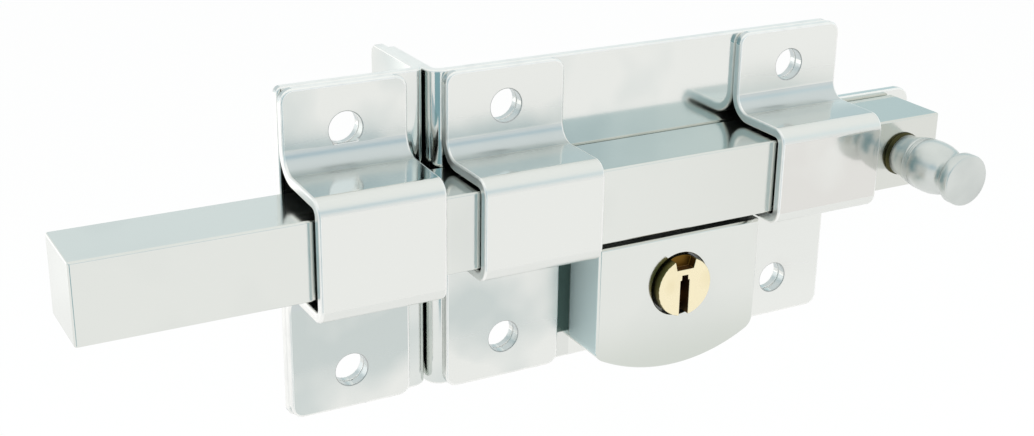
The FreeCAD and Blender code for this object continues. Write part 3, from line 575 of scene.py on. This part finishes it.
def paint_shade_on_plating():
    """Paint shade into the plated pieces: a dark channel on the base plate, the case darker towards its
    bottom, the bar towards its right end, and the loops towards their flanges' roots.
    """
    # Painted shade: a dark strip on the base plate between the left guide and the case
    tint_region(BASE_CHROME, CHANNEL_SHADE_COLOUR, [
        ("X", CHANNEL_LEFT, CHANNEL_BLUR, 0.0, 1.0),
        ("X", CHANNEL_RIGHT, CHANNEL_BLUR, 1.0, 0.0),
        ("Z", CHANNEL_TOP, CHANNEL_BLUR, 1.0, 0.0),
        ("Z", CHANNEL_BOTTOM, CHANNEL_BLUR, CHANNEL_FOOT, 1.0),
        ("Y", CHANNEL_DEPTH, CHANNEL_BLUR, 1.0, 0.0),
    ])
    # Painted shade: the case darker towards its bottom, the bar towards its right end
    tint_region(CASE_CHROME, CASE_SHADE_COLOUR, [("Z", CASE_FADE, CASE_FADE_HALF, 1.0, 0.0)])
    tint_region(BAR_CHROME, BAR_SHADE_COLOUR, [("X", BAR_FADE, BAR_FADE_HALF, 0.0, 1.0)])
    # Painted shade: the loops darker towards their flanges' roots, lighter on their fronts
    shade_loop_recesses(STRIKE_CHROME, *STRIKE_SHADE)
    shade_loop_recesses(LEFT_CHROME, *LEFT_SHADE)
    shade_loop_recesses(RIGHT_CHROME, *RIGHT_SHADE)


def dress_nodes():
    """Give each carried-over node its material."""
    wafers = [f"wafer_{k}" for k in range(1, 4)]
    springs = [f"wafer_spring_{k}" for k in range(1, 4)]
    rivets = [f"{kind}_rivet_{k}" for kind in ("case", "housing") for k in (1, 2)]
    others = ["bar_stop_pin", "knob_screw", "cam_plate", "cam_pin", "locking_dog"]
    # The wafers take the painted shade of the dark brass
    for material, names in (
        (BRASS_SHADE, wafers),
        (CAST, ["cylinder_housing"]),
        (STEEL, others + springs + rivets),
    ):
        for name in names:
            node = bpy.data.objects[name]
            node.data.materials.clear()
            node.data.materials.append(material)


# Pieces that stand for nodes
def stand_in(name, mesh, node, body):
    """A piece that stands for a node and moves with its body."""
    piece = bpy.data.objects.new(name, mesh)
    bpy.context.collection.objects.link(piece)
    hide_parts(node)
    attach(piece, body)
    return piece


def axis_of(low, high):
    """The X and Z of a box's middle, where a round piece has its axis."""
    return (low.x + high.x) / 2, (low.z + high.z) / 2


def paint(mesh, face, material):
    """Give a face one of its mesh's materials."""
    face.material_index = mesh.materials.find(material.name)


def plain_form(node):
    """A node's form without the needless edges across its flat faces."""
    form = bmesh.new()
    form.from_mesh(bpy.data.objects[node].data)
    bmesh.ops.remove_doubles(form, verts=form.verts, dist=TINY)
    bmesh.ops.dissolve_limit(form, angle_limit=FLAT_ANGLE, verts=form.verts, edges=form.edges)
    form.verts.index_update()
    points = [vertex.co[:] for vertex in form.verts]
    faces = [[vertex.index for vertex in face.verts] for face in form.faces]
    form.free()
    mesh = bpy.data.meshes.new(node + "_rounded")
    mesh.from_pydata(points, [], faces)
    mesh.shade_smooth()
    return mesh


def weigh_edges(mesh, rims_apart):
    """Mark the sharp edges for rounding, with the rims of the mounting holes apart where asked."""
    normals = {}
    for face in mesh.polygons:
        for key in face.edge_keys:
            normals.setdefault(key, []).append(face.normal.copy())
    others = mesh.attributes.new(EDGE_WEIGHT, "FLOAT", "EDGE")
    rims = mesh.attributes.new(RIM_WEIGHT, "FLOAT", "EDGE")
    for edge in mesh.edges:
        first, second = normals[edge.key]
        if first.angle(second, 0.0) < SHARP_ANGLE:
            continue
        ends = [mesh.vertices[k].co for k in edge.vertices]
        in_hole = all(abs(abs(end.z) - HOLE_LEVEL * MM) < HOLE_REACH * MM for end in ends)
        slanted = min(abs(ends[0].x - ends[1].x), abs(ends[0].z - ends[1].z)) > TINY
        chosen = rims if rims_apart and in_hole and slanted else others
        chosen.data[edge.index].value = 1.0


def add_bevel(piece, name, weight, width, steps):
    """Round the edges that a weight marks."""
    bevel = piece.modifiers.new(name, "BEVEL")
    bevel.width = width * MM
    bevel.segments = steps
    bevel.limit_method = "WEIGHT"
    bevel.edge_weight = weight
    bevel.use_clamp_overlap = False


def rounded(node, body, material, width, rim_width=0.0):
    """A node's form with its sharp edges rounded, as the sheared or machined edge has them."""
    mesh = plain_form(node)
    mesh.materials.append(material)
    weigh_edges(mesh, rim_width > 0)
    piece = stand_in(node + "_rounded", mesh, node, body)
    add_bevel(piece, "edge", EDGE_WEIGHT, width, EDGE_STEPS)
    if rim_width > 0:
        add_bevel(piece, "rim", RIM_WEIGHT, rim_width, RIM_STEPS)
    even = piece.modifiers.new("even", "WEIGHTED_NORMAL")
    even.keep_sharp = False
    return piece


def turned(name, profile, node, body, material):
    """A smooth turned piece about an axis along Y, from a profile out from the bar's front."""
    low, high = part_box(node)
    centre_x, centre_z = axis_of(low, high)
    form = bmesh.new()
    rings = []
    for out, radius in profile:
        depth = high.y - out * MM
        if radius == 0:
            rings.append([form.verts.new((centre_x, depth, centre_z))])
            continue
        ring = []
        for step in range(TURNED_STEPS):
            angle = 2 * math.pi * step / TURNED_STEPS
            across = centre_x + radius * MM * math.cos(angle)
            up = centre_z + radius * MM * math.sin(angle)
            ring.append(form.verts.new((across, depth, up)))
        rings.append(ring)
    for first, second in zip(rings, rings[1:]):
        for step in range(TURNED_STEPS):
            following = (step + 1) % TURNED_STEPS
            if len(first) == 1:
                form.faces.new((first[0], second[following], second[step]))
            elif len(second) == 1:
                form.faces.new((first[step], first[following], second[0]))
            else:
                form.faces.new((first[step], first[following], second[following], second[step]))
    bmesh.ops.recalc_face_normals(form, faces=form.faces)
    mesh = bpy.data.meshes.new(name)
    form.to_mesh(mesh)
    form.free()
    mesh.shade_smooth()
    mesh.materials.append(material)
    return stand_in(name, mesh, node, body)


def outer_faces(mesh):
    """The faces that lie in the mesh's outer planes across X and across Z."""
    for axis in (0, 2):
        places = [vertex.co[axis] for vertex in mesh.vertices]
        for end in (min(places), max(places)):
            for face in mesh.polygons:
                if all(abs(places[k] - end) < SHEAR_NEAR * MM for k in face.vertices):
                    yield face


def finish_sheet(piece):
    """Give the sheet's bends and sheared edges their duller finishes, with a painted highlight on the
    sheared edges, and paint shade into its hollow bends and round its rims.
    """
    mesh = piece.data
    for material in (BENT, SHEARED_AND_HIGHLIT, HOLLOW_SHADE, RIM_SHADE):
        mesh.materials.append(material)
    for face in mesh.polygons:
        least, middle, _ = sorted(abs(part) for part in face.normal)
        if least < TINY and middle > BEND_SLANT and abs(face.normal.z) > BEND_SLANT:
            paint(mesh, face, HOLLOW_SHADE if face.center.y > HOLLOW_DEPTH * MM else BENT)
    for face in outer_faces(mesh):
        if face.area < SHEAR_AREA * MM * MM:
            paint(mesh, face, SHEARED_AND_HIGHLIT)
    for name, material in (("edge", SHEARED_AND_HIGHLIT), ("rim", RIM_SHADE)):
        if name in piece.modifiers:
            piece.modifiers[name].material = mesh.materials.find(material.name)


def make_loops_and_plates():
    """The plated sheet pieces."""
    for node, material, width, rim_width in (
        ("body_base_plate", BASE_CHROME, PLATE_EDGE, 0.0),
        ("strike_plate", CHROME, PLATE_EDGE, 0.0),
        ("left_guide", LEFT_CHROME, LOOP_EDGE, RIM_EDGE),
        ("right_guide", RIGHT_CHROME, LOOP_EDGE, RIM_EDGE),
        ("strike_loop", STRIKE_CHROME, LOOP_EDGE, RIM_EDGE),
    ):
        finish_sheet(rounded(node, "lock_body", material, width, rim_width))


def make_case():
    """The case, with painted shade on its upper face and a painted bluish shade on its two upright sides.
    """
    mesh = rounded("lock_case", "lock_body", CASE_CHROME, CASE_EDGE).data
    mesh.materials.append(TOP_SHADE)
    mesh.materials.append(SIDE_SHADE)
    for face in mesh.polygons:
        if face.normal.z > STRAIGHT:
            paint(mesh, face, TOP_SHADE)
        elif abs(face.normal.x) > STRAIGHT:
            paint(mesh, face, SIDE_SHADE)


def make_bar():
    """The bar, with its edges barely rounded."""
    rounded("bar", "sliding_bar", BAR_CHROME, BAR_EDGE)


def knob_profile():
    """The knob's profile, with the fine turning marks on its flare."""
    marks = []
    for middle in TURNING_MARKS:
        level = FLARE_RADIUS + (middle - FLARE_OUT) * FLARE_SLOPE
        marks += [
            (middle - TURNING_HALF, level),
            (middle, level - TURNING_DEPTH),
            (middle + TURNING_HALF, level),
        ]
    return KNOB_BORE + sorted(KNOB_BODY + marks) + KNOB_NECK + KNOB_FACE


def make_knob():
    """The knob and the dark ring that it stands on."""
    turned("knob_turned", knob_profile(), "knob", "sliding_bar", SATIN)
    turned("ring_turned", RING_PROFILE, "knob_ring", "sliding_bar", RING_DARK)


def make_plug():
    """The brass plug, bright on its face and with painted shade round its side and in its recesses."""
    mesh = rounded("plug", "key_plug", BRASS, PLUG_EDGE).data
    for material in (BRASS_SIDE, BRASS_MARK, BRASS_SHADE):
        mesh.materials.append(material)
    centre_x, centre_z = axis_of(plug_low, plug_high)
    radius = (plug_high.x - plug_low.x) / 2
    for face in mesh.polygons:
        x, y, z = face.center
        if y < plug_low.y + FACE_BAND * MM:
            continue
        from_axis = math.hypot(x - centre_x, z - centre_z)
        if from_axis > SIDE_SHARE * radius and abs(face.normal.y) < SIDE_SLANT:
            paint(mesh, face, BRASS_SIDE)
        elif z - centre_z > KEYSTONE_LOW * MM:
            paint(mesh, face, BRASS_MARK)
        else:
            paint(mesh, face, BRASS_SHADE)


bpy.context.scene.view_settings.view_transform = "Standard"
make_camera()
make_world()
make_floor()
make_card()
for lamp in LAMPS:
    add_lamp(*lamp)
paint_shade_on_plating()
dress_nodes()
make_loops_and_plates()
make_case()
make_bar()
make_knob()
make_plug()
